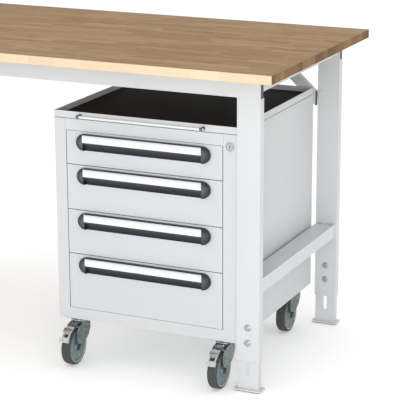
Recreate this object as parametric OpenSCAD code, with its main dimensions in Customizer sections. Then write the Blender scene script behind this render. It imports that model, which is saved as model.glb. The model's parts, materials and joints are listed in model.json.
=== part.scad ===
// Height-adjustable workbench with a beech top and a mobile four-drawer cabinet.
// Millimetres, +Z up. X runs along the bench, the front faces -Y, and the origin
// is on the floor under the middle of the worktop.

/* [Worktop] */
// Length of the worktop
top_w = 1500; // [1400:10:2000]
// Depth of the worktop
top_d = 800; // [795:1:810]
// Thickness of the worktop
top_t = 25; // [20:1:40]
// Height of the working surface above the floor
top_z = 947; // [940:1:1000]

/* [Bench frame] */
// Worktop overhang beyond the legs, at each end
over_x = 60; // [40:1:100]
// Worktop overhang beyond the legs, front and back
over_y = 69; // [66:1:72]
// Width of an outer leg along X
leg_w = 70; // [66:1:80]
// Depth of an outer leg along Y
leg_d = 26; // [24:1:28]
// Height of the outer leg's lower end above the floor
sleeve_z = 93; // [85:1:110]
// Height of the long rails under the worktop
rail_h = 58; // [50:1:60]
// Height of a crossbar
cross_h = 42; // [36:1:46]
// Height of the lower crossbar's top face
cross_z = 336; // [300:1:400]

/* [Cabinet] */
// Width of the cabinet
cab_w = 580; // [560:1:582]
// Depth of the cabinet
cab_d = 598; // [590:1:600]
// Height of the cabinet's underside above the floor
cab_z0 = 140; // [138:1:145]
// Height of the seam between the cabinet and its top tray
cab_z1 = 755; // [752:1:760]
// Height of the top tray
tray_h = 22; // [18:1:26]
// Gap between the cabinet and the bench leg beside it
cab_gap = 3; // [2:1:6]
// How far the cabinet's face lies behind the front of the legs
cab_back = 7; // [4:1:12]

/* [Drawers] */
// Height of the front of the top drawer
front_h1 = 102; // [98:1:102]
// Height of the front of the second drawer
front_h2 = 137; // [120:1:137]
// Height of the front of the third drawer
front_h3 = 136; // [120:1:136]
// Height of the front of the bottom drawer
front_h4 = 171; // [150:1:171]
// Height of the bottom drawer's lower edge above the floor
drawer_z0 = 175; // [172:1:180]

/* [Casters] */
// Diameter of a wheel
wheel_d = 110; // [104:1:112]
// Width of a wheel
wheel_w = 30; // [26:1:32]
// Distance from the swivel axis to the wheel's axle
trail = 44; // [40:1:46]
// Distance from the cabinet's side to the swivel axis
caster_x = 51; // [48:1:60]
// Distance from the cabinet's front or back to the swivel axis
caster_y = 35; // [34:1:50]

/* [Hidden] */
sheet = 2;                    // gauge of the folded steel
fit = 0.5;                    // sliding clearance between steel parts
lip = 8;                      // return lip of a leg
under_z = top_z - top_t;      // underside of the worktop
leg_x1 = top_w / 2 - over_x;  // outer face of the right legs
leg_x0 = leg_x1 - leg_w;      // their inner face
leg_x = (leg_x0 + leg_x1) / 2;
front_y = -top_d / 2 + over_y;       // front face of the front legs
rear_y = top_d / 2 - over_y - leg_d; // front face of the rear legs
rail_d = leg_d - 2 * sheet - fit;
rail_z = under_z - rail_h;
cap_t = 3;                    // plastic cap on the end of a rail
cap_in = 1;                   // the cap stops this short of the leg's side
cross_w = leg_w - 10;

inner_w = leg_w - 2 * sheet - 2 * fit;
inner_d = leg_d - 2 * sheet - 2 * fit;
inner_top = 400;
pad_t = 3;                    // plastic pad under a foot plate
pad_in = 4;                   // the pad stops this far inside the plate
foot_t = 4;
foot_over = 9;                // foot plate beyond the inner leg
slot_z0 = 47;
slot_z1 = 380;
slot_w = 11;
bolt_z = [149, 195];          // clamp bolts in an outer leg
bolt_r = 5;
head_r = 10;
screw_r = 2.5;                // crossbar screws
screw_xs = [-18, 18];
screw_ys = [front_y + leg_d + 14, rear_y - 14];

brace_z = 717;                // lower corner of a brace's upright end
brace_h = 45;                 // height of that end
brace_d = 16;                 // depth of a brace along Y
brace_slope = 0.914;          // rise over run
tab = 22;                     // length of its fixing tabs

cab_x1 = leg_x0 - cab_gap;
cab_x0 = cab_x1 - cab_w;
cab_y0 = front_y + cab_back;
cab_y1 = cab_y0 + cab_d;
tray_z1 = cab_z1 + tray_h;
mat_t = 4;
open_x0 = cab_x0 + 37;        // the opening in the front frame
open_x1 = cab_x1 - 42;
front_hs = [front_h4, front_h3, front_h2, front_h1]; // from the bottom up
open_z1 = drawer_z0 + sum(front_hs, 4);
return_d = 20;                // depth of the folded edge round the opening

gap = 2;                      // gap round a drawer front
seam = 2;                     // shadow groove under the tray
front_t = 18;                 // thickness of a drawer front
box_in = 7;                   // drawer box to the side of the opening
box_t = 1.6;                  // gauge of the drawer box
box_l = 560;                  // length of the drawer box
runner_z = 14;                // runner above the front's lower edge
runner_h = 40;
runner_l = 500;
runner_t = 2.6;
post_d = 30;                  // upright that carries the runners

handle_w = 426;
handle_h = 50;
handle_d = 15;
handle_drop = 7;              // from the top of a front to its handle
handle_t = 2;
grip_h = 28;                  // height of the handle's front wall
strip_w = 378;
strip_h = 22;
strip_t = 1.2;
strip_drop = 1.5;             // from the top of a handle to its strip

bar_r = 3.5;                  // push bar
bar_out = 16;                 // its centre line in front of the tray
bar_x0 = cab_x0 + 80;
bar_x1 = cab_x0 + 484;
bar_z = cab_z1 + 11;

lock_x = (open_x1 + cab_x1) / 2;
lock_z = cab_z1 - 35;
lock_r = 10.5;
plug_r = 7;

head_r_caster = 27;
head_z = cab_z0 - 12;         // underside of a caster's fixed head
fork_z = head_z - 0.6;        // top face of the fork
fork_t = 3;
fork_in = wheel_w / 2 + 3;    // a fork leg's inner face from the middle of the wheel
king_r = 6;
axle_z = wheel_d / 2;
axle_r = 6;
running = 0.07;               // radial clearance of a pin or shaft that turns
pivot_y = -trail + 8;         // brake pedal's pin, from the swivel axis
pivot_z = fork_z - 9;
pin_r = 2.5;
pedal_w = 24;
pedal_r = wheel_d / 2 + 6;    // the pedal's curve, about a point near the axle
pedal_c = [-trail - 3, axle_z + 2];

CASTERS = [["front_left", -1, -1], ["front_right", 1, -1],
           ["rear_left", -1, 1], ["rear_right", 1, 1]];
SIDES = [["right", 1], ["left", -1]];
ENDS = [["front", front_y], ["rear", rear_y]];
DRAWERS = [1:4];

// Sum of the first n entries.
function sum(v, n, i = 0) = i < n ? v[i] + sum(v, n, i + 1) : 0;
// Lower edge and height of a drawer front. Drawer 1 is the top one.
function front_z(k) = drawer_z0 + sum(front_hs, 4 - k);
function front_h(k) = front_hs[4 - k];
// Swivel axis of a caster.
function caster_at(c) = [c[1] < 0 ? cab_x0 + caster_x : cab_x1 - caster_x,
                         c[2] < 0 ? cab_y0 + caster_y : cab_y1 - caster_y, 0];
// Points on an arc about p.
function arc(p, r, a0, a1, n = 8) =
    [for (i = [0:n]) p + r * [cos(a0 + (a1 - a0) * i / n), sin(a0 + (a1 - a0) * i / n)]];

module steel() { color([0.91, 0.92, 0.93]) children(); }
module zinc() { color([0.62, 0.66, 0.67]) children(); }
module plastic() { color([0.16, 0.17, 0.19]) children(); }

// A box between two corners.
module span(a, b) { translate(a) cube(b - a); }
// An outline in (y, z), extruded along X from x0 to x1.
module along_x(x0, x1) { translate([x0, 0, 0]) rotate([90, 0, 90]) linear_extrude(x1 - x0) children(); }
// An outline in (x, z), extruded along Y from y0 to y1.
module along_y(y0, y1) { translate([0, y1, 0]) rotate([90, 0, 0]) linear_extrude(y1 - y0) children(); }
// A rod along Y from y0 to y1.
module rod_y(r, y0, y1) { translate([0, y0, 0]) rotate([-90, 0, 0]) cylinder(r = r, h = y1 - y0, $fn = 48); }
// A rod along X, centred.
module rod_x(r, w) { rotate([0, 90, 0]) cylinder(r = r, h = w, center = true, $fn = 48); }

// ---- bench ---------------------------------------------------------------

module worktop() {
    color([0.80, 0.66, 0.47]) span([-top_w / 2, -top_d / 2, under_z], [top_w / 2, top_d / 2, top_z]);
}

// Lipped channel that passes through the tops of the legs, open to the back.
module long_rail(y) {
    x = leg_x1 - cap_in - cap_t;
    y0 = y + sheet;
    y1 = y0 + rail_d;
    steel() along_x(-x, x) polygon([
        [y0, rail_z], [y1, rail_z], [y1, rail_z + lip], [y1 - sheet, rail_z + lip],
        [y1 - sheet, rail_z + sheet], [y0 + sheet, rail_z + sheet],
        [y0 + sheet, under_z - sheet], [y1 - sheet, under_z - sheet],
        [y1 - sheet, under_z - lip], [y1, under_z - lip], [y1, under_z], [y0, under_z]]);
}

// Lipped channel on end. Its flanges stop where the long rail passes through.
module outer_leg(s, y) {
    steel() translate([s * leg_x, y, 0]) difference() {
        translate([0, 0, sleeve_z]) linear_extrude(under_z - sleeve_z) polygon([
            [-leg_w / 2, 0], [leg_w / 2, 0], [leg_w / 2, leg_d], [leg_w / 2 - lip, leg_d],
            [leg_w / 2 - lip, leg_d - sheet], [leg_w / 2 - sheet, leg_d - sheet],
            [leg_w / 2 - sheet, sheet], [-leg_w / 2 + sheet, sheet],
            [-leg_w / 2 + sheet, leg_d - sheet], [-leg_w / 2 + lip, leg_d - sheet],
            [-leg_w / 2 + lip, leg_d], [-leg_w / 2, leg_d]]);
        span([-leg_w, sheet, rail_z], [leg_w, 2 * leg_d, top_z]);
        for (z = bolt_z) translate([0, 0, z]) rod_y(bolt_r, -1, sheet + 1);
    }
}

// Plain channel that slides inside the outer leg, with its foot plate welded on.
module inner_leg(s, y) {
    w = inner_w / 2;
    steel() translate([s * leg_x, y + sheet + fit, 0]) difference() {
        union() {
            translate([0, 0, pad_t]) linear_extrude(inner_top - pad_t) polygon([
                [-w, 0], [w, 0], [w, inner_d], [w - sheet, inner_d],
                [w - sheet, sheet], [-w + sheet, sheet], [-w + sheet, inner_d], [-w, inner_d]]);
            span([-w - foot_over, -foot_over, pad_t],
                 [w + foot_over, inner_d + foot_over, pad_t + foot_t]);
        }
        for (z = [slot_z0 + slot_w / 2, slot_z1 - slot_w / 2])
            translate([0, 0, z]) rod_y(slot_w / 2, -1, sheet + 1);
        span([-slot_w / 2, -1, slot_z0 + slot_w / 2], [slot_w / 2, sheet + 1, slot_z1 - slot_w / 2]);
    }
}

module foot_pads() {
    over = foot_over - pad_in;
    w = inner_w / 2 + over;
    plastic() for (s = SIDES) for (e = ENDS)
        translate([s[1] * leg_x, e[1] + sheet + fit, 0])
            span([-w, -over, 0], [w, inner_d + over, pad_t]);
}

// Channel between a front and a rear leg, open below.
module crossbar(s, z1, y0, y1) {
    w = cross_w / 2;
    translate([s * leg_x, 0, z1]) along_y(y0, y1) polygon([
        [-w, -cross_h], [-w + sheet, -cross_h], [-w + sheet, -sheet], [w - sheet, -sheet],
        [w - sheet, -cross_h], [w, -cross_h], [w, 0], [-w, 0]]);
}
module top_crossbar(s) { steel() crossbar(s, under_z, front_y + sheet + rail_d, rear_y); }
module lower_crossbar(s) {
    steel() difference() {
        crossbar(s, cross_z, front_y + leg_d, rear_y);
        for (x = screw_xs) for (y = screw_ys)
            translate([s * leg_x + x, y, cross_z - 2 * sheet])
                cylinder(r = screw_r + 0.02, h = 4 * sheet, $fn = 32);
    }
}

// Sloping band of the brace: its edge rises from z at x = x0 to the worktop.
module brace_band(x0, z, h) {
    run = function(zz) (under_z - zz) / brace_slope;
    polygon([[x0, z], [x0, z + h], [x0 - run(z + h), under_z], [x0 - run(z), under_z]]);
}

// Channel-shaped strut from the rear leg up to the underside of the worktop.
module corner_brace(s) {
    x0 = leg_x0 - gap;
    top_x = x0 - (under_z - brace_z) / brace_slope;
    y0 = rear_y - brace_d;
    steel() mirror([s < 0 ? 1 : 0, 0, 0]) {
        along_y(y0, y0 + sheet) brace_band(x0, brace_z, brace_h);
        along_y(y0, rear_y) brace_band(x0, brace_z, sheet);
        along_y(y0, rear_y) brace_band(x0, brace_z + brace_h - sheet, sheet);
        span([x0 - tab, rear_y - sheet, brace_z + 20], [leg_x0 + tab, rear_y, brace_z + brace_h]);
        span([top_x - tab, y0 - tab, under_z - sheet], [x0 - 180, rear_y, under_z]);
    }
}

// Plastic caps that close the ends of the long rails and the corner braces.
module frame_end_caps() {
    x = leg_x1 - cap_in;
    plastic() for (s = SIDES) mirror([s[1] < 0 ? 1 : 0, 0, 0]) {
        for (e = ENDS)
            span([x - cap_t, e[1] + sheet, rail_z], [x, e[1] + sheet + rail_d, under_z]);
        span([leg_x0 - gap, rear_y - brace_d, brace_z],
             [leg_x0 - 0.1, rear_y - sheet, brace_z + brace_h]);
    }
}

// Domed bolt head with its face at y = 0, pointing to -Y.
module head(r) {
    rotate([90, 0, 0]) {
        cylinder(r = r, h = r * 0.15, $fn = 48);
        translate([0, 0, r * 0.15]) cylinder(r1 = r, r2 = r * 0.6, h = r * 0.3, $fn = 48);
    }
}

module frame_bolts() {
    nut_y = 2 * sheet + fit + 0.3;
    zinc() for (s = SIDES) {
        for (e = ENDS) for (z = bolt_z) translate([s[1] * leg_x, e[1], z]) {
            head(head_r);
            rod_y(bolt_r - 0.02, 0, nut_y + 8);
            translate([0, nut_y, 0]) rotate([-90, 0, 0]) cylinder(r = 9, h = 7, $fn = 6);
        }
        for (x = screw_xs) for (y = screw_ys) translate([s[1] * leg_x + x, y, cross_z]) {
            cylinder(r = 5, h = 2, $fn = 32);
            translate([0, 0, -sheet - 6]) cylinder(r = screw_r, h = sheet + 6, $fn = 32);
        }
    }
}

// ---- cabinet -------------------------------------------------------------

// Both sides and the back, folded from one sheet.
module cabinet_shell() {
    y0 = cab_y0 + sheet;
    steel() translate([0, 0, cab_z0]) linear_extrude(cab_z1 - cab_z0) polygon([
        [cab_x0, y0], [cab_x0 + sheet, y0], [cab_x0 + sheet, cab_y1 - sheet],
        [cab_x1 - sheet, cab_y1 - sheet], [cab_x1 - sheet, y0], [cab_x1, y0],
        [cab_x1, cab_y1], [cab_x0, cab_y1]]);
}

module cabinet_bottom() {
    steel() span([cab_x0 + sheet, cab_y0 + sheet, cab_z0],
                 [cab_x1 - sheet, cab_y1 - sheet, cab_z0 + sheet]);
}

// Stiles and rails round the drawers, with the edge of the opening folded in.
module front_frame() {
    steel() difference() {
        union() {
            span([cab_x0, cab_y0, cab_z0], [cab_x1, cab_y0 + sheet, cab_z1]);
            span([open_x0 - sheet, cab_y0, drawer_z0 - sheet],
                 [open_x1 + sheet, cab_y0 + return_d, open_z1 + sheet]);
        }
        span([open_x0, cab_y0 - 1, drawer_z0], [open_x1, cab_y0 + 2 * return_d, open_z1]);
        for (x = [open_x0 - 1.5, open_x1 + 0.7])
            span([x, cab_y0 - 1, open_z1 + sheet], [x + 0.8, cab_y0 + 0.8, cab_z1 + 1]);
        translate([lock_x, 0, lock_z]) rod_y(lock_r, cab_y0 - 1, cab_y0 + sheet + 1);
    }
}

// Uprights and the fixed runner members that they carry, four on each side.
module runner_rails() {
    post_y = [cab_y0 + 40, cab_y0 + 470];
    ends = [[cab_x0 + sheet, open_x0 - 0.2, 1], [cab_x1 - sheet, open_x1 + 0.2, -1]];
    zinc() for (e = ends) {
        plate = e[1] - e[2] * runner_t;
        for (y = post_y)
            span([min(e[0], plate), y, cab_z0 + sheet], [max(e[0], plate), y + post_d, cab_z1]);
        for (k = DRAWERS)
            span([min(plate, e[1]), cab_y0 + return_d + 4, front_z(k) + runner_z],
                 [max(plate, e[1]), cab_y0 + return_d + 4 + runner_l, front_z(k) + runner_z + runner_h]);
    }
}

module top_tray() {
    steel() difference() {
        union() {
            span([cab_x0, cab_y0, cab_z1 + seam], [cab_x1, cab_y1, tray_z1]);
            span([cab_x0 + 1.2, cab_y0 + 1.2, cab_z1], [cab_x1 - 1.2, cab_y1 - 1.2, tray_z1 - 1]);
        }
        span([cab_x0 + sheet, cab_y0 + sheet, cab_z1 + sheet],
             [cab_x1 - sheet, cab_y1 - sheet, tray_z1 + 1]);
    }
}

module tray_mat() {
    plastic() span([cab_x0 + sheet + 0.5, cab_y0 + sheet + 0.5, cab_z1 + sheet],
                   [cab_x1 - sheet - 0.5, cab_y1 - sheet - 0.5, cab_z1 + sheet + mat_t]);
}

// Round bar on two studs across the front of the tray.
module push_bar() {
    zinc() {
        translate([(bar_x0 + bar_x1) / 2, cab_y0 - bar_out, bar_z]) rod_x(bar_r, bar_x1 - bar_x0);
        for (x = [bar_x0 + 6, bar_x1 - 6]) translate([x, 0, bar_z]) {
            rod_y(2.8, cab_y0 - bar_out, cab_y0);
            rod_y(5.5, cab_y0 - 2, cab_y0);
        }
    }
}

module lock_body() {
    zinc() translate([lock_x, 0, lock_z]) difference() {
        union() {
            rod_y(12.5, cab_y0 - 3, cab_y0);
            rod_y(lock_r - 0.05, cab_y0 - 1, cab_y0 + 24);
        }
        rod_y(plug_r + running, cab_y0 - 4, cab_y0 + 25);
    }
}

// Keyed plug with the cam on its inner end.
module lock_plug() {
    zinc() translate([lock_x, 0, lock_z]) difference() {
        union() {
            rod_y(plug_r, cab_y0 - 3.5, cab_y0 + 26);
            span([-5, cab_y0 + 25, -5], [5, cab_y0 + 27, 20]);
        }
        span([-1, cab_y0 - 5, -4], [1, cab_y0 + 8, 4]);
    }
}

// ---- drawers -------------------------------------------------------------

// Steel tray with the inner runner members fixed to its sides.
module drawer_box(k) {
    x0 = open_x0 + box_in;
    x1 = open_x1 - box_in;
    z0 = front_z(k) + 12;
    z1 = front_z(k) + front_h(k) - 18;
    y0 = cab_y0 + sheet;
    run_t = box_in - runner_t - 1;
    rz = front_z(k) + runner_z + 6;
    zinc() {
        difference() {
            span([x0, y0, z0], [x1, y0 + box_l, z1]);
            span([x0 + box_t, y0 + box_t, z0 + box_t], [x1 - box_t, y0 + box_l - box_t, z1 + 1]);
        }
        for (x = [x0 - run_t, x1])
            span([x, cab_y0 + front_t + 4, rz],
                 [x + run_t, cab_y0 + front_t + 4 + runner_l, rz + runner_h - 12]);
    }
}

// Folded pan, open at the back.
module drawer_front(k) {
    a = [open_x0 + gap, cab_y0, front_z(k) + gap / 2];
    b = [open_x1 - gap, cab_y0 + front_t, front_z(k) + front_h(k) - gap / 2];
    steel() difference() {
        span(a, b);
        span(a + [sheet, sheet, sheet], b + [-sheet, 1, -sheet]);
    }
}

// Long grip with round ends, open below behind its front wall.
module drawer_handle(k) {
    r = handle_h / 2;
    cx = (open_x0 + open_x1) / 2;
    cz = front_z(k) + front_h(k) - handle_drop - r;
    w = handle_w / 2 - r;
    plastic() translate([cx, cab_y0, cz]) {
        for (s = [-1, 1]) along_y(-handle_d, 0) intersection() {
            translate([s * w, 0]) circle(r = r, $fn = 96);
            translate([s * (w + r), 0]) square(2 * r, center = true);
        }
        span([-w, -handle_t, -r], [w, 0, r]);
        span([-w, -handle_d, r - handle_t - 1], [w, -handle_t, r]);
        span([-w, -handle_d, r - grip_h], [w, -handle_d + handle_t, r]);
    }
}

module label_strip(k) {
    cx = (open_x0 + open_x1) / 2;
    z1 = front_z(k) + front_h(k) - handle_drop - strip_drop;
    color([0.93, 0.93, 0.94])
        span([cx - strip_w / 2, cab_y0 - handle_d - strip_t, z1 - strip_h],
             [cx + strip_w / 2, cab_y0 - handle_d, z1]);
}

// Sliding members between the fixed runners and the drawer, one on each side.
module runner_mid(k) {
    z = front_z(k) + runner_z + 3;
    y = cab_y0 + front_t + 3;
    zinc() for (x = [open_x0 + fit, open_x1 - fit - runner_t])
        span([x, y, z], [x + runner_t, y + runner_l, z + runner_h - 6]);
}

// ---- casters -------------------------------------------------------------

// Fixed plate, head and kingpin of each caster.
module caster_heads() {
    zinc() for (c = CASTERS) translate(caster_at(c)) {
        span([-33, -30, cab_z0 - 3], [33, 30, cab_z0]);
        translate([0, 0, head_z]) cylinder(r = head_r_caster, h = cab_z0 - 3 - head_z, $fn = 64);
        translate([0, 0, fork_z - fork_t - 1]) cylinder(r = king_r, h = fork_t + 4, $fn = 48);
        translate([0, 0, fork_z - fork_t - 4.4]) cylinder(r = 10, h = 4, $fn = 48);
    }
}

// Side outline of a fork leg in (y, z) from the swivel axis.
module fork_side() {
    axle = [-trail, axle_z];
    z = fork_z - fork_t;
    polygon([[-head_r_caster + 5, z], [head_r_caster - 2, z], [head_r_caster - 2, z - 27],
             [head_r_caster - 14, z - 47], axle + 11.5 * [cos(-50), sin(-50)],
             axle + 11.5 * [cos(200), sin(200)], [-trail - 17, z - 40],
             [-trail - 17, z - 24], [-trail + 1, z - 5]]);
    translate(axle) circle(r = 12, $fn = 64);
}

module caster_fork(c) {
    braked = c[2] < 0;
    zinc() translate(caster_at(c)) {
        difference() {
            translate([0, 0, fork_z - fork_t]) cylinder(r = head_r_caster, h = fork_t, $fn = 64);
            cylinder(r = king_r + running, h = cab_z0, $fn = 48);
        }
        for (x = [-fork_in - fork_t, fork_in]) along_x(x, x + fork_t) fork_side();
        translate([0, -trail, axle_z]) {
            rod_x(axle_r, 2 * (fork_in + fork_t) + 10);
            for (s = [-1, 1]) translate([s * (fork_in + fork_t + 2.5), 0, 0])
                rotate([0, 90, 0]) cylinder(r = 9, h = 5, center = true, $fn = 6);
        }
        if (braked) {
            for (x = [-pedal_w / 2 - 3, pedal_w / 2 + 0.5])
                span([x, pivot_y - 5, pivot_z - 5], [x + 2.5, -head_r_caster + 14, fork_z - 0.5]);
            translate([0, pivot_y, pivot_z]) rod_x(pin_r, pedal_w + 6);
        }
    }
}

// Tyre and hub, turned from one outline in (radius, half width).
module caster_wheel(c) {
    r = wheel_d / 2;
    h = wheel_w / 2;
    half = [[axle_r + running, h + 2], [12, h + 2], [14, h - 3], [r - 13, h - 4], [r - 10, h - 1],
            [r - 8, h - 1], [r - 7, h], [r - 3, h - 0.5], [r - 1, h - 2.5], [r, h - 6]];
    plastic() translate(caster_at(c) + [0, -trail, axle_z]) rotate([0, 90, 0])
        rotate_extrude($fn = 96)
            polygon(concat(half, [for (i = [len(half) - 1:-1:0]) [half[i][0], -half[i][1]]]));
}

// Part of a ring between two radii and two angles.
module band(r0, r1, a0, a1) {
    mid = (a0 + a1) / 2;
    difference() {
        intersection() {
            circle(r = r1, $fn = 96);
            polygon([[0, 0], for (a = [a0, mid, a1]) 2 * r1 * [cos(a), sin(a)]]);
        }
        circle(r = r0, $fn = 96);
    }
}

// Foot lever round the front of the wheel, hung on the fork's pin.
module brake_pedal(s) {
    c = [for (c = CASTERS) if (c[1] == s && c[2] < 0) c][0];
    w = pedal_w / 2;
    cheek = 2.5;
    zinc() translate(caster_at(c)) difference() {
        union() {
            along_x(-w, w) translate(pedal_c) band(pedal_r, pedal_r + 3, 90, 153);
            along_x(-w - 3, w + 3) translate(pedal_c) band(pedal_r + 1, pedal_r + 9, 143, 154);
            along_x(-w - 1, w + 1) translate(pedal_c) band(pedal_r + 2, pedal_r + 9, 112, 126);
            for (x = [-w, w - cheek]) along_x(x, x + cheek) polygon(concat(
                arc([pivot_y, pivot_z], 6, -60, 90),
                arc(pedal_c, pedal_r + 2, 95, 128), arc(pedal_c, pedal_r + 1, 128, 95)));
        }
        along_x(-w + 4, w - 4) translate(pedal_c) band(pedal_r - 1, pedal_r + 5, 129, 139);
        translate([0, pivot_y, pivot_z]) rod_x(pin_r + running, pedal_w + 2);
    }
}

// ---- the nodes -----------------------------------------------------------

worktop();
long_rail(front_y);  // front_rail
long_rail(rear_y);  // rear_rail
for (s = SIDES) {
    for (e = ENDS) {
        outer_leg(s[1], e[1]);
        inner_leg(s[1], e[1]);
    }
    top_crossbar(s[1]);
    lower_crossbar(s[1]);
    corner_brace(s[1]);
    brake_pedal(s[1]);
}
frame_end_caps();
frame_bolts();
foot_pads();
cabinet_shell();
cabinet_bottom();
front_frame();
runner_rails();
top_tray();
tray_mat();
push_bar();
lock_body();
lock_plug();
caster_heads();
for (k = DRAWERS) {
    drawer_box(k);
    drawer_front(k);
    drawer_handle(k);
    label_strip(k);
    runner_mid(k);
}
for (c = CASTERS) {
    caster_fork(c);
    caster_wheel(c);
}
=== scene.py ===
import json
import math

import bmesh
import bpy
from mathutils import Matrix, Vector


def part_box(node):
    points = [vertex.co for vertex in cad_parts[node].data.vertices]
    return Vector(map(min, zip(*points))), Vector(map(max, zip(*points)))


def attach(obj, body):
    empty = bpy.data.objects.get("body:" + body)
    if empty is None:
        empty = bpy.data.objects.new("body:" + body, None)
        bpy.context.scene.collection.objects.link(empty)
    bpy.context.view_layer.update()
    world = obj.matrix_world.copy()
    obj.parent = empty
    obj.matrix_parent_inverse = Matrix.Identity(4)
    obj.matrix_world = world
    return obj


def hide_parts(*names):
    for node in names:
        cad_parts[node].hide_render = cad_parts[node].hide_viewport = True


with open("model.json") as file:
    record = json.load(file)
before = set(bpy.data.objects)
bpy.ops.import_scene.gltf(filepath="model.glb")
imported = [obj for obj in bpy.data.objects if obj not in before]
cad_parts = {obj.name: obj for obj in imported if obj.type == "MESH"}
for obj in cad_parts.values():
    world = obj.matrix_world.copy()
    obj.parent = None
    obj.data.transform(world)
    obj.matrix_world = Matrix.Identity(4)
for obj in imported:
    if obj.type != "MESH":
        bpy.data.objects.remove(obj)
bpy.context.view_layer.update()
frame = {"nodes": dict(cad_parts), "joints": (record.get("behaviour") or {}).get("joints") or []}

MM = 0.001
NODES = frame["nodes"]
JOINT_PLACES = {joint["name"]: Vector(joint["pos_m"]) for joint in frame["joints"] if joint.get("pos_m")}


# ---- materials -------------------------------------------------------------


class Graph:
    """A material's node tree. Textures use object coordinates, which are the frame's own at rest."""

    def __init__(self, name, metallic=0.0, specular=0.5):
        self.mat = bpy.data.materials.new(name)
        self.mat.use_nodes = True
        self.tree = self.mat.node_tree
        self.tree.nodes.clear()
        self.bsdf = self.add("BsdfPrincipled")
        out = self.add("OutputMaterial")
        self.link(self.bsdf.outputs[0], out.inputs[0])
        self.bsdf.inputs["Metallic"].default_value = metallic
        self.bsdf.inputs["Specular IOR Level"].default_value = specular
        coord = self.add("TexCoord")
        self.xyz = coord.outputs["Object"]
        self.normal = coord.outputs["Normal"]
        self.x, self.y, self.z = self.split(self.xyz)

    def add(self, kind, **settings):
        node = self.tree.nodes.new("ShaderNode" + kind)
        for key, value in settings.items():
            setattr(node, key, value)
        return node

    def link(self, a, b):
        self.tree.links.new(a, b)

    def put(self, socket, value):
        """Feeds a socket from another node's output, or sets it to a plain value."""
        if isinstance(value, bpy.types.NodeSocket):
            self.link(value, socket)
        else:
            socket.default_value = value

    def split(self, vector):
        node = self.add("SeparateXYZ")
        self.link(vector, node.inputs[0])
        return node.outputs[0], node.outputs[1], node.outputs[2]

    def join(self, x, y, z):
        node = self.add("CombineXYZ")
        for socket, value in zip(node.inputs, (x, y, z)):
            self.put(socket, value)
        return node.outputs[0]

    def math(self, op, *values):
        node = self.add("Math", operation=op)
        for socket, value in zip(node.inputs, values):
            self.put(socket, value)
        return node.outputs[0]

    def plus(self, a, b):
        return self.math("ADD", a, b)

    def minus(self, a, b):
        return self.math("SUBTRACT", a, b)

    def times(self, a, b):
        return self.math("MULTIPLY", a, b)

    def over(self, a, b):
        return self.math("DIVIDE", a, b)

    def away(self, value, middle):
        """How far a value is from a middle one, to either side."""
        return self.math("ABSOLUTE", self.minus(value, middle))

    def hypot(self, a, b):
        """The distance that two offsets at right angles add up to."""
        return self.math("SQRT", self.plus(self.times(a, a), self.times(b, b)))

    def remap(self, value, a, b, c, d, smooth=False):
        """The stretch from a to b laid over the stretch from c to d, held at both ends."""
        node = self.add("MapRange", interpolation_type="SMOOTHSTEP" if smooth else "LINEAR")
        for socket, v in zip(node.inputs, (value, a, b, c, d)):
            self.put(socket, v)
        return node.outputs[0]

    def rise(self, value, low, high, top=1.0, smooth=False):
        """Nothing up to low, and top from high on."""
        return self.remap(value, low, high, 0.0, top, smooth)

    def fall(self, value, low, high, top=1.0):
        """Top up to low, and nothing from high on."""
        return self.remap(value, low, high, top, 0.0)

    def stretch(self, sx, sy, sz, shift=None):
        """The coordinates scaled, and shifted by a vector output."""
        node = self.add("VectorMath", operation="MULTIPLY")
        self.link(self.xyz, node.inputs[0])
        node.inputs[1].default_value = (sx, sy, sz)
        if shift is None:
            return node.outputs[0]
        total = self.add("VectorMath", operation="ADD")
        self.link(node.outputs[0], total.inputs[0])
        self.link(shift, total.inputs[1])
        return total.outputs[0]

    def noise(self, scale, detail=3.0, vector=None, distortion=0.0, rough=0.5):
        node = self.add("TexNoise")
        self.link(vector or self.xyz, node.inputs["Vector"])
        node.inputs["Scale"].default_value = scale
        node.inputs["Detail"].default_value = detail
        node.inputs["Roughness"].default_value = rough
        node.inputs["Distortion"].default_value = distortion
        return node.outputs[0]

    def grain(self, sizes, detail=3.0, distortion=0.0, rough=0.5, shift=None):
        """Noise drawn out along the axes: sizes are its scales along X, Y and Z."""
        return self.noise(1.0, detail, self.stretch(*sizes, shift), distortion, rough)

    def cell_noise(self, vector):
        """One random value from 0 to 1 for each whole-number place."""
        node = self.add("TexWhiteNoise", noise_dimensions="3D")
        self.link(vector, node.inputs["Vector"])
        return node.outputs[0]

    def cells(self, scale):
        """A random colour for each Voronoi cell."""
        node = self.add("TexVoronoi")
        self.link(self.xyz, node.inputs["Vector"])
        node.inputs["Scale"].default_value = scale
        return node.outputs["Color"]

    def mix(self, factor, a, b):
        node = self.add("Mix", data_type="RGBA")
        self.put(node.inputs[0], factor)
        self.put(node.inputs[6], rgba(a))
        self.put(node.inputs[7], rgba(b))
        return node.outputs[2]

    def bump(self, height, distance, strength):
        node = self.add("Bump")
        node.inputs["Strength"].default_value = strength
        node.inputs["Distance"].default_value = distance
        self.link(height, node.inputs["Height"])
        return node.outputs[0]

    def finish(self, color, roughness, normal):
        self.put(self.bsdf.inputs["Base Color"], rgba(color))
        self.put(self.bsdf.inputs["Roughness"], roughness)
        self.link(normal, self.bsdf.inputs["Normal"])
        return self.mat


def rgba(value):
    """Four numbers from a colour of three. A node's output is returned as it is."""
    return (*value, 1.0) if isinstance(value, tuple) else value


def darker(color, share):
    """A colour with only a share of its light."""
    return tuple(share * c for c in color)


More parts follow.
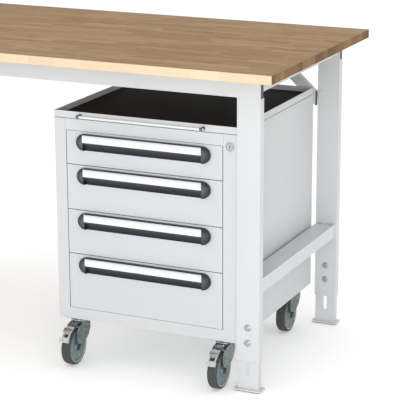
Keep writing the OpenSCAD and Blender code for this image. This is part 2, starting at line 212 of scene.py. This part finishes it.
def powder_coat(name, color, shade, shadow=None):
    """Light powder coat: orange peel, faint clouding and soft marks that dull the sheen."""
    dust_and_painted_shade = (0.05, 0.053, 0.056)
    g = Graph(name)
    tint = g.mix(g.rise(g.noise(3.0, detail=4.0), 0.3, 0.7), color, shade)
    speck = g.rise(g.noise(1400.0, detail=1.0), 0.62, 0.72, top=0.25)
    tint = g.mix(speck, tint, darker(shade, 0.9))
    # Where a shadow mask is given, painted shade darkens the coat there.
    if shadow:
        tint = g.mix(shadow(g), tint, dust_and_painted_shade)
    scuff = g.grain((9.0, 40.0, 14.0), detail=5.0, distortion=0.6)
    peel = g.noise(520.0, detail=2.0)
    return g.finish(tint, g.remap(scuff, 0.35, 0.75, 0.36, 0.5), g.bump(peel, 0.12 * MM, 0.6))


def rim_shadow(g):
    """Painted shade in the band just inside the gaps round the drawer fronts."""
    start, end, margin = 0.5 * MM, 6.0 * MM, 4.0 * MM
    near_fade, fade = 0.5 * MM, 1.0 * MM
    lo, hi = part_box("drawer_front_1")
    middle, reach = (lo.x + hi.x) / 2, (hi.x - lo.x) / 2 + margin
    _, normal_y, _ = g.split(g.normal)
    side = g.fall(g.math("ABSOLUTE", normal_y), 0.3, 0.6)
    near = g.rise(g.y, lo.y + start, lo.y + start + near_fade)
    far = g.fall(g.y, lo.y + end, lo.y + end + fade)
    inside = g.fall(g.away(g.x, middle), reach, reach + fade)
    return g.times(g.times(side, near), g.times(far, inside))


def seam_shadow(g):
    """Painted shade at the bottom of the groove under the tray."""
    groove, fade, strength = 1.8 * MM, 0.2 * MM, 0.85
    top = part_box("top_tray")[0].z + groove
    return g.fall(g.z, top, top + fade, top=strength)


def long_grain(g, seed, fibre, fleck, shift):
    """The faces of the staves: figure, fibres, flecks, and dark and pale streaks."""
    tone = g.mix(seed, (0.315, 0.190, 0.083), (0.43, 0.288, 0.150))
    figure = g.grain((3.2, 46.0, 30.0), detail=5.0, distortion=0.7, rough=0.62, shift=shift)
    tone = g.mix(g.rise(figure, 0.38, 0.7, top=0.62), tone, (0.205, 0.115, 0.048))
    tone = g.mix(g.fall(fibre, 0.4, 0.62, top=0.3), tone, (0.17, 0.092, 0.037))
    tone = g.mix(g.times(fleck, 0.4), tone, (0.27, 0.15, 0.08))
    streak = g.grain((11.0, 150.0, 60.0), distortion=0.3, shift=shift)
    tone = g.mix(g.rise(streak, 0.56, 0.7, top=0.6), tone, (0.205, 0.110, 0.046))
    pale = g.grain((14.0, 190.0, 60.0), distortion=0.3, shift=shift)
    return g.mix(g.rise(pale, 0.58, 0.72, top=0.5), tone, (0.56, 0.40, 0.235))


def end_grain(g, row, stave_width, side):
    """The sawn ends: darker, with arcs of growth rings that differ from stave to stave."""
    heart_depth, heart_spread, heart_rise, ring_turn = 32 * MM, 50 * MM, 30 * MM, 2300.0
    lowest_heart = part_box("worktop")[0].z - heart_depth
    seed = g.cell_noise(g.join(row, 9.0, 2.0))
    heart_y = g.times(g.minus(seed, 0.5), heart_spread)
    heart_z = g.plus(lowest_heart, g.times(seed, heart_rise))
    dy = g.minus(g.minus(g.y, g.times(row, stave_width)), heart_y)
    radius = g.hypot(dy, g.minus(g.z, heart_z))
    ring = g.math("SINE", g.times(radius, ring_turn))
    cut = g.mix(seed, (0.125, 0.066, 0.028), (0.335, 0.200, 0.093))
    cut = g.mix(g.rise(ring, -1.0, 1.0, top=0.35), cut, (0.20, 0.115, 0.06))
    pores = g.noise(1500.0, detail=2.0)
    cut = g.mix(g.rise(pores, 0.5, 0.7, top=0.5), cut, (0.13, 0.075, 0.04))
    return g.mix(g.rise(side, 0.47, 0.495, top=0.7), cut, (0.11, 0.06, 0.035))


def butcher_block():
    """Glued beech staves along X, with long grain on the faces and end grain on the ends."""
    width, length, edge_patch_length = 34 * MM, 270 * MM, 85 * MM
    g = Graph("beech", specular=0.08)
    across = g.over(g.y, width)
    row = g.math("FLOOR", across)
    slide = g.cell_noise(g.join(row, 3.0, 0.0))
    along = g.plus(g.over(g.x, length), g.times(slide, 7.0))
    column = g.math("FLOOR", along)
    seed = g.cell_noise(g.join(row, column, 5.0))
    shift = g.join(g.times(seed, 31.0), g.times(seed, 17.0), seed)
    fibre = g.grain((22.0, 620.0, 420.0), rough=0.6, shift=shift)
    fleck = g.rise(g.grain((90.0, 900.0, 900.0), detail=1.0, shift=shift), 0.66, 0.76)
    tone = long_grain(g, seed, fibre, fleck, shift)
    # Glue lines between the rows and at the finger joints
    side = g.away(g.math("FRACT", across), 0.5)
    end = g.away(g.math("FRACT", along), 0.5)
    joint = g.math("MAXIMUM", g.rise(side, 0.485, 0.499, top=0.5), g.rise(end, 0.4975, 0.4997, top=0.7))
    tone = g.mix(joint, tone, (0.25, 0.15, 0.085))
    # Painted light: the front and back edges are painted paler than the top, in patches along X
    normal_x, normal_y, _ = g.split(g.normal)
    edge_painted_light = g.rise(g.math("ABSOLUTE", normal_y), 0.6, 0.8, top=0.72)
    edge_light_patch = g.cell_noise(g.join(g.math("FLOOR", g.over(g.x, edge_patch_length)), 4.0, 1.0))
    tone = g.mix(edge_painted_light, tone, g.mix(edge_light_patch, (0.79, 0.645, 0.45), (0.85, 0.71, 0.51)))
    is_end = g.rise(g.math("ABSOLUTE", normal_x), 0.6, 0.8)
    tone = g.mix(is_end, tone, end_grain(g, row, width, side))
    height = g.minus(g.times(fibre, 0.6), g.plus(joint, fleck))
    return g.finish(tone, g.remap(fibre, 0.3, 0.7, 0.62, 0.5), g.bump(height, 0.18 * MM, 0.7))


def moulded(name, color, shade):
    """Moulded plastic with a fine spark-eroded texture."""
    g = Graph(name, specular=0.4)
    tint = g.mix(g.rise(g.noise(26.0, detail=4.0), 0.35, 0.65), color, shade)
    spark = g.noise(900.0, detail=2.0)
    return g.finish(tint, g.remap(spark, 0.3, 0.7, 0.53, 0.39), g.bump(spark, 0.1 * MM, 0.6))


def handle_plastic(name, lo, hi):
    """Navy grip with olive-grey end caps, told apart by their place along the handle, with painted shade in
    the grip's hollow and round the caps' shoulders.
    """
    cap_width, blur, seam_width = 23.7 * MM, 0.3 * MM, 0.6 * MM
    middle, half = (lo.x + hi.x) / 2, (hi.x - lo.x) / 2
    half_height = (hi.z - lo.z) / 2
    edge = half - cap_width
    g = Graph(name, specular=0.3)
    off = g.away(g.x, middle)
    height = g.rise(g.z, lo.z, hi.z)
    # Painted shade of the finger hollow: the grip darkens towards the bottom. It is also darker along its top
    # edge.
    navy = g.mix(g.rise(height, 0.05, 0.5, smooth=True), (0.004, 0.006, 0.012), (0.042, 0.049, 0.064))
    navy = g.mix(g.rise(height, 0.93, 0.99), navy, (0.006, 0.008, 0.012))
    blotch = g.rise(g.noise(30.0, detail=4.0), 0.35, 0.65)
    olive = g.mix(blotch, (0.055, 0.064, 0.062), (0.095, 0.108, 0.104))
    # Painted shade round each cap's shoulder, darker away from its centre, which leaves a lighter crown.
    radius = g.hypot(g.minus(off, half - half_height), g.minus(g.z, lo.z + half_height))
    rim = g.rise(radius, 8 * MM, 22 * MM, top=0.9, smooth=True)
    olive = g.mix(rim, olive, (0.016, 0.020, 0.022))
    cap = g.rise(off, edge - blur, edge + blur)
    seam = g.rise(g.away(off, edge), 0.0, seam_width)
    tint = g.mix(seam, (0.012, 0.013, 0.015), g.mix(cap, navy, olive))
    spark = g.noise(1000.0, detail=2.0)
    level = g.plus(g.times(spark, 0.3), seam)
    return g.finish(tint, g.remap(spark, 0.3, 0.7, 0.4, 0.28), g.bump(level, 0.3 * MM, 0.7))


def zinc(name, color, shade, rough=0.34):
    """Zinc plate: small spangles, faint rolling lines and a blue-grey cast."""
    g = Graph(name, metallic=1.0)
    spangle, facet, _ = g.split(g.cells(260.0))
    tint = g.mix(spangle, color, shade)
    stain = g.rise(g.noise(24.0, detail=5.0), 0.5, 0.75, top=0.5)
    tint = g.mix(stain, tint, darker(shade, 0.72))
    lines = g.grain((60.0, 900.0, 60.0), detail=2.0)
    level = g.plus(g.times(facet, 0.5), lines)
    return g.finish(tint, g.remap(level, 0.2, 1.1, rough - 0.08, rough + 0.12), g.bump(level, 0.08 * MM, 0.5))


def ribbed_rubber():
    """Black mat with fine ribs along Y."""
    rib_pitch = 3 * MM
    g = Graph("ribbed_rubber", specular=0.22)
    rib = g.math("SINE", g.times(g.x, 2 * math.pi / rib_pitch))
    wear = g.rise(g.noise(8.0, detail=5.0), 0.35, 0.7)
    tint = g.mix(wear, (0.010, 0.0115, 0.0095), (0.017, 0.0185, 0.016))
    grit = g.noise(700.0)
    tint = g.mix(g.rise(grit, 0.6, 0.75, top=0.6), tint, (0.045, 0.044, 0.042))
    height = g.plus(rib, g.times(grit, 0.7))
    return g.finish(tint, g.remap(grit, 0.3, 0.7, 0.82, 0.68), g.bump(height, 0.3 * MM, 0.6))


def wheel_material(name, hub):
    """Grey rubber tyre on a blue-grey nylon hub, told apart by the distance from the axle."""
    tyre_radius, lip_radius, shoulder_radius, tread_radius = 48 * MM, 46.3 * MM, 50 * MM, 53 * MM
    blur, lip_width, lip_blur = 0.2 * MM, 1.1 * MM, 0.6 * MM
    g = Graph(name, specular=0.4)
    dy = g.minus(g.y, hub.y)
    dz = g.minus(g.z, hub.z)
    radius = g.hypot(dy, dz)
    turn = g.math("ARCTAN2", dy, dz)
    dust_and_painted_shade = g.noise(1.0, detail=5.0, vector=g.join(g.times(turn, 6.0), g.times(g.x, 300.0), radius))
    rubber = g.mix(g.rise(dust_and_painted_shade, 0.4, 0.7), (0.036, 0.040, 0.037), (0.066, 0.071, 0.066))
    cloud = g.rise(g.noise(60.0, detail=4.0), 0.35, 0.65)
    nylon = g.mix(cloud, (0.12, 0.155, 0.165), (0.185, 0.225, 0.235))
    lip = g.fall(g.away(radius, lip_radius), lip_width, lip_width + lip_blur)
    nylon = g.mix(lip, nylon, (0.36, 0.39, 0.41))
    tyre = g.rise(radius, tyre_radius - blur, tyre_radius + blur)
    tint = g.mix(tyre, nylon, rubber)
    grit = g.noise(800.0, detail=2.0)
    rough = g.plus(g.remap(tyre, 0.0, 1.0, 0.34, 0.6), g.times(grit, 0.12))
    tread = g.rise(radius, shoulder_radius, tread_radius, top=0.25)
    groove = g.times(g.math("SINE", g.times(turn, 180.0)), tread)
    return g.finish(tint, rough, g.bump(g.plus(grit, groove), 0.2 * MM, 0.6))


def label_plastic(name, lo, hi):
    """Satin white strip behind clear lacquer, a little greyer at its top edge and right end."""
    end_width = 14 * MM
    g = Graph(name)
    g.bsdf.inputs["Coat Weight"].default_value = 0.35
    g.bsdf.inputs["Coat Roughness"].default_value = 0.12
    cloud = g.rise(g.noise(14.0, detail=4.0), 0.35, 0.7)
    tint = g.mix(cloud, (0.715, 0.73, 0.755), (0.68, 0.695, 0.72))
    height = g.rise(g.z, lo.z, hi.z)
    tint = g.mix(g.rise(height, 0.55, 1.0, top=0.5, smooth=True), tint, (0.34, 0.355, 0.385))
    end = g.rise(g.x, hi.x - end_width, hi.x, top=0.5, smooth=True)
    tint = g.mix(end, tint, (0.52, 0.54, 0.56))
    fine = g.grain((30.0, 1.0, 900.0), detail=2.0)
    return g.finish(tint, g.remap(fine, 0.3, 0.7, 0.28, 0.38), g.bump(fine, 0.05 * MM, 0.4))


CABINET = ((0.548, 0.563, 0.570), (0.518, 0.532, 0.539))
CABINET_PAINT = powder_coat("cabinet_paint", *CABINET)
# The front frame and the drawer fronts carry painted shade just inside the drawer gaps.
FRAME_PAINT = powder_coat("frame_paint", *CABINET, rim_shadow)
# The tray carries painted shade at the bottom of the groove under it.
TRAY_PAINT = powder_coat("tray_paint", *CABINET, seam_shadow)
DRAWER_PAINT = powder_coat("drawer_paint", (0.535, 0.55, 0.572), (0.512, 0.527, 0.549), rim_shadow)
PAINT = powder_coat("bench_paint", (0.568, 0.582, 0.589), (0.538, 0.551, 0.558))
BAR = powder_coat("bar_lacquer", (0.70, 0.715, 0.72), (0.66, 0.675, 0.68))
BEECH = butcher_block()
BLACK = moulded("black_plastic", (0.030, 0.031, 0.034), (0.045, 0.047, 0.05))
MAT = ribbed_rubber()
ZINC = zinc("zinc", (0.42, 0.45, 0.465), (0.54, 0.565, 0.575))
BRIGHT = zinc("bright_zinc", (0.50, 0.53, 0.535), (0.74, 0.76, 0.76), 0.2)
BOLT = zinc("bolt_zinc", (0.36, 0.385, 0.395), (0.50, 0.525, 0.535), 0.3)
FORK = zinc("fork_zinc", (0.10, 0.128, 0.128), (0.27, 0.315, 0.31), 0.3)

# The finish of each node, by how its name begins
FINISHES = {
    "worktop": BEECH,
    "outer_leg": PAINT, "inner_leg": PAINT, "front_rail": PAINT, "rear_rail": PAINT,
    "top_crossbar": PAINT, "lower_crossbar": PAINT, "corner_brace": PAINT,
    "frame_end_caps": BLACK, "foot_pads": BLACK, "frame_bolts": BOLT,
    "cabinet": CABINET_PAINT, "front_frame": FRAME_PAINT, "top_tray": TRAY_PAINT,
    "tray_mat": MAT, "push_bar": BAR, "lock": ZINC,
    "drawer_front": DRAWER_PAINT, "drawer_box": ZINC, "runner": ZINC,
    "caster_heads": FORK, "caster_fork": FORK, "brake_pedal": BRIGHT,
}

# Bevel widths in mm, by how the name begins, and the width where no beginning fits
BEVELS = {
    "worktop": 1.2, "drawer_front": 1.0, "top_tray": 0.7, "front_frame": 0.6,
    "drawer_handle": 1.6, "tray_mat": 0.6, "foot_pads": 1.0, "brake_pedal": 0.7,
    "caster_wheel": 0.9, "caster_heads": 0.6, "caster_fork": 0.7, "cabinet_shell": 0.9,
}
PLAIN_BEVEL = 0.5
BEVEL_ANGLE = math.radians(35)


def by_name(table, name, *fallback):
    """The entry whose key the name begins with. Without a fallback there has to be one."""
    return next((entry for start, entry in table.items() if name.startswith(start)), *fallback)


def material_for(name):
    """The finish of a CAD node. Wheels, label strips and handles have one each, laid out on their boxes."""
    lo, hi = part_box(name)
    if name.startswith("caster_wheel"):
        return wheel_material("tyre_" + name.removeprefix("caster_wheel_"), (lo + hi) / 2)
    if name.startswith("label_strip"):
        return label_plastic(name + "_face", lo, hi)
    if name.startswith("drawer_handle"):
        return handle_plastic(name + "_plastic", lo, hi)
    return by_name(FINISHES, name)


def finish_nodes():
    """Gives every CAD node its finish and softly rounded edges."""
    for name, node in NODES.items():
        node.data.materials.clear()
        node.data.materials.append(material_for(name))
        bevel = node.modifiers.new("edge", "BEVEL")
        bevel.width = by_name(BEVELS, name, PLAIN_BEVEL) * MM
        bevel.segments = 3
        bevel.limit_method = "ANGLE"
        bevel.angle_limit = BEVEL_ANGLE


finish_nodes()


# ---- pieces with more shape than their CAD stand-ins ------------------------


SHARP_ANGLE = math.radians(38)


def mm(*points):
    """Points in metres from points in millimetres."""
    return [(a * MM, b * MM) for a, b in points]


def arc(cx, cy, r, start, stop):
    """Seven points of an arc from start to stop, in degrees."""
    steps = 6
    turn = [math.radians(start + (stop - start) * i / steps) for i in range(steps + 1)]
    return [(cx + r * math.cos(t), cy + r * math.sin(t)) for t in turn]


def make(name, material, body, slot, fill, *facts):
    """A piece riding on a body. fill(bm, *facts) puts its faces into an empty bmesh."""
    bm = bmesh.new()
    fill(bm, *facts)
    bmesh.ops.remove_doubles(bm, verts=bm.verts, dist=1e-6)
    bmesh.ops.recalc_face_normals(bm, faces=bm.faces)
    mesh = bpy.data.meshes.new(name)
    bm.to_mesh(mesh)
    bm.free()
    mesh.materials.append(material)
    obj = bpy.data.objects.new(name, mesh)
    bpy.context.collection.objects.link(obj)
    mesh.shade_smooth()
    mesh.set_sharp_from_angle(angle=SHARP_ANGLE)
    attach(obj, body)
    return obj


def loft(bm, rings):
    """Joins closed rings of points with quads, and fills the first and last ring."""
    rows = [[bm.verts.new(p) for p in ring] for ring in rings]
    n = len(rows[0])
    for r0, r1 in zip(rows, rows[1:]):
        for i in range(n):
            j = (i + 1) % n
            bm.faces.new((r0[i], r0[j], r1[j], r1[i]))
    bm.faces.new(rows[0][::-1])
    bm.faces.new(rows[-1])


def turned(bm, centre, axis, outline, turn=360.0, start=0.0, steps=64):
    """Revolves an outline of (radius, along) about an axis through centre."""
    axis = Vector(axis)
    side = axis.orthogonal().normalized() if abs(axis.y) < 0.5 else Vector((1, 0, 0))
    up = axis.cross(side)
    full = turn == 360.0
    rows = []
    for i in range(steps if full else steps + 1):
        t = math.radians(start + turn * i / steps)
        out = side * math.cos(t) + up * math.sin(t)
        rows.append([bm.verts.new(centre + out * r + axis * h) for r, h in outline])
    pairs = list(zip(rows, rows[1:])) + ([(rows[-1], rows[0])] if full else [])
    for a, b in pairs:
        for i in range(len(outline) - 1):
            bm.faces.new((a[i], a[i + 1], b[i + 1], b[i]))
    return rows


def grip_section(lo, hi):
    """The grip's section in Y and Z: a rounded front that hangs over a finger hollow."""
    wall, roof, skirt = 2.0 * MM, 3.0 * MM, 28 * MM
    nose, lip, inner = 1.4 * MM, 1.0 * MM, 4.0 * MM
    front, back = lo.y, hi.y
    ceiling = hi.z - roof
    section = [(back, lo.z), (back, hi.z)]
    section += arc(front + nose, hi.z - nose, nose, 90, 180)
    section += arc(front + lip, hi.z - skirt + lip, lip, 180, 360)
    section += arc(front + wall + inner, ceiling - inner, inner, 180, 90)
    section += [(back - wall - inner, ceiling), (back - wall, ceiling - inner)]
    section += [(back - wall, lo.z + lip), (back - lip, lo.z)]
    return section


def fill_grip(bm, section, left, right):
    """The section drawn out from left to right."""
    loft(bm, [[(x, y, z) for y, z in section] for x in (left, right)])


def cap_outline(radius, depth):
    """Radius and height of an end cap: a nearly flat crown, then a round shoulder down to the rim."""
    crown, fall, shoulder, drop = 11 * MM, 0.2 * MM, 8 * MM, 7.6 * MM
    turn = [math.radians(10 * i) for i in range(1, 10)]
    outline = [(0.0, depth), (radius - crown, depth - fall)]
    outline += [(radius - shoulder + shoulder * math.sin(t), depth - shoulder + drop * math.cos(t))
                for t in turn]
    return outline + [(radius, 0.0)]


def fill_cap(bm, centre, outline, start):
    """Half a turned dome, closed along its cut and at its foot."""
    rows = turned(bm, centre, (0, -1, 0), outline, turn=180.0, start=start, steps=32)
    bm.faces.new(rows[0] + rows[-1][::-1][:-1])
    bm.faces.new([row[-1] for row in rows])


def build_handles():
    """A rounded grip with a finger hollow and two domed end caps on each drawer."""
    for k in range(1, 5):
        handle, body = f"drawer_handle_{k}", f"drawer_{k}"
        lo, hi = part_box(handle)
        radius = (hi.z - lo.z) / 2
        left, right = lo.x + radius, hi.x - radius
        plastic = NODES[handle].data.materials[0]
        section = grip_section(lo, hi)
        grip = make(f"grip_{k}", plastic, body, "black_plastic", fill_grip, section, left, right)
        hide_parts(handle)
        outline = cap_outline(radius, hi.y - lo.y)
        for side, x, start in (("left", left, 90.0), ("right", right, -90.0)):
            centre = Vector((x, hi.y, lo.z + radius))
            name = f"grip_cap_{side}_{k}"
            cap = make(name, plastic, body, "black_plastic", fill_cap, centre, outline, start)
            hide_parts(handle)


def fill_ball_race(bm, centre):
    """A flat ring with a rounded rim."""
    ring = mm((26.0, -2.0), (27.6, -1.3), (28.2, 0.0), (27.6, 1.3), (26.0, 2.0), (26.0, -2.0))
    turned(bm, centre, (0, 0, 1), ring)


def fill_hub_ribs(bm, hub):
    """Six ribs on each side of a wheel, narrower and lower towards the rim."""
    count, root, chamfer = 6, 8.8, 0.8
    stations = ((15.5, 3.0, 13.0), (26.0, 2.2, 12.6), (41.0, 1.6, 12.0))
    for side in (-1, 1):
        for i in range(count):
            t = 2 * math.pi * (i + 0.5) / count
            out = Vector((0, math.cos(t), math.sin(t)))
            across = Vector((0, -math.sin(t), math.cos(t)))
            rings = []
            for r, w, top in stations:
                section = mm((root, -w), (top - chamfer, -w), (top, -w * 0.6),
                             (top, w * 0.6), (top - chamfer, w), (root, w))
                middle = hub + out * r * MM
                rings.append([middle + across * a + Vector((side * h, 0, 0)) for h, a in section])
            loft(bm, rings)


def build_caster_details():
    """The ball races and hub ribs that the plain solids leave out."""
    above_joint = Vector((0, 0, 5.1 * MM))
    for name in ("front_left", "front_right", "rear_left", "rear_right"):
        swivel = JOINT_PLACES[f"swivel_{name}"]
        make(f"ball_race_{name}", BRIGHT, "cart", "zinc", fill_ball_race, swivel + above_joint)
        wheel = f"caster_wheel_{name}"
        lo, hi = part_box(wheel)
        finish = NODES[wheel].data.materials[0]
        make(f"hub_ribs_{name}", finish, f"wheel_{name}", "tyre", fill_hub_ribs, (lo + hi) / 2)


def fill_clip(bm, x, bar_y, tray_y, z):
    """A boot from the tray to the bar, and a collar round the bar's end."""
    reach = tray_y - bar_y
    boot = mm((0.0, 0.0), (5.6, 0.0), (6.0, 0.8), (5.6, 2.4), (3.6, 4.6))
    boot += [(3.4 * MM, reach), (0.0, reach)]
    collar = mm((3.5, -5.0), (4.3, -4.4), (4.6, -3.4), (4.6, 3.4), (4.3, 4.4), (3.5, 5.0))
    turned(bm, Vector((x, tray_y, z)), (0, -1, 0), boot, steps=32)
    turned(bm, Vector((x, bar_y, z)), (1, 0, 0), collar, steps=32)


def build_bar_clips():
    """Dark boots, finished in the casters' dark fork zinc, that hold the ends of the push bar."""
    inset, bar_radius = 6 * MM, 3.5 * MM
    lo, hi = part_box("push_bar")
    bar_y = lo.y + bar_radius
    tray_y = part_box("top_tray")[0].y
    z = (lo.z + hi.z) / 2
    for side, x in (("left", lo.x + inset), ("right", hi.x - inset)):
        make(f"bar_clip_{side}", FORK, "cart", "zinc", fill_clip, x, bar_y, tray_y, z)


def fill_bezel(bm, centre):
    """A plain ring that swells and falls away again outwards."""
    ring = mm((8.6, -0.1), (9.2, 0.7), (10.6, 0.9), (11.8, 0.5), (12.2, -0.4))
    turned(bm, centre, (0, -1, 0), ring, steps=48)


def build_lock_bezel():
    """The bezel round the lock."""
    lo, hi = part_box("lock_body")
    centre = Vector(((lo.x + hi.x) / 2, lo.y, (lo.z + hi.z) / 2))
    make("lock_bezel", BOLT, "cart", "zinc", fill_bezel, centre)


build_handles()
build_caster_details()
build_bar_clips()
build_lock_bezel()


# ---- stage, light and camera ----------------------------------------------


def floor_material():
    """White paper with a faint glow of its own, which keeps shadows on it light."""
    glow = 0.22
    g = Graph("floor_paper", specular=0.1)
    tint = g.mix(g.rise(g.noise(1.5), 0.3, 0.7), (0.85, 0.85, 0.85), (0.87, 0.87, 0.87))
    g.bsdf.inputs["Emission Color"].default_value = (1.0, 1.0, 1.0, 1.0)
    g.bsdf.inputs["Emission Strength"].default_value = glow
    fine = g.noise(300.0)
    return g.finish(tint, g.remap(fine, 0.3, 0.7, 0.86, 0.94), g.bump(fine, 0.2 * MM, 0.3))


def floor():
    """A square far larger than the view, just under the feet and wheels."""
    half, z = 30.0, -0.5 * MM
    mesh = bpy.data.meshes.new("studio_floor")
    corners = [(-half, -half, z), (half, -half, z), (half, half, z), (-half, half, z)]
    mesh.from_pydata(corners, [], [(0, 1, 2, 3)])
    mesh.materials.append(floor_material())
    obj = bpy.data.objects.new("studio_floor", mesh)
    bpy.context.collection.objects.link(obj)
    return obj


def light_the_sky(scene):
    """Even white light from all round, with colours shown as they are."""
    scene.view_settings.view_transform = "Standard"
    scene.world = bpy.data.worlds.new("studio")
    scene.world.use_nodes = True
    sky = scene.world.node_tree.nodes["Background"]
    sky.inputs["Color"].default_value = (1.0, 1.0, 1.0, 1.0)
    sky.inputs["Strength"].default_value = 0.97


def area_light(name, place, aim, size, power):
    """A rectangular light turned towards a point."""
    data = bpy.data.lights.new(name, "AREA")
    data.shape = "RECTANGLE"
    data.size, data.size_y = size
    data.energy = power
    obj = bpy.data.objects.new(name, data)
    obj.location = place
    obj.rotation_euler = (Vector(aim) - Vector(place)).to_track_quat("-Z", "Y").to_euler()
    bpy.context.collection.objects.link(obj)


def add_camera(place, azimuth, pitch, roll, lens):
    """The photograph's camera: angles in degrees, the pitch downwards, the lens in mm on 36 mm."""
    data = bpy.data.cameras.new("camera")
    data.sensor_width = 36.0
    data.lens = lens
    data.clip_end = 80.0
    camera = bpy.data.objects.new("camera", data)
    camera.matrix_world = (
        Matrix.Translation(place)
        @ Matrix.Rotation(math.radians(azimuth), 4, "Z")
        @ Matrix.Rotation(math.radians(90.0 - pitch), 4, "X")
        @ Matrix.Rotation(math.radians(roll), 4, "Z")
    )
    bpy.context.collection.objects.link(camera)
    bpy.context.scene.camera = camera


floor()
light_the_sky(bpy.context.scene)
area_light("key", (2.3, -4.6, 1.2), (0.5, 0.0, 0.5), (2.2, 1.1), 92)
area_light("top", (0.6, -0.4, 4.2), (0.3, 0.0, 0.7), (3.0, 3.0), 18)
add_camera((2.394, -4.463, 1.829), azimuth=24.55, pitch=15.63, roll=-0.2, lens=149.85)
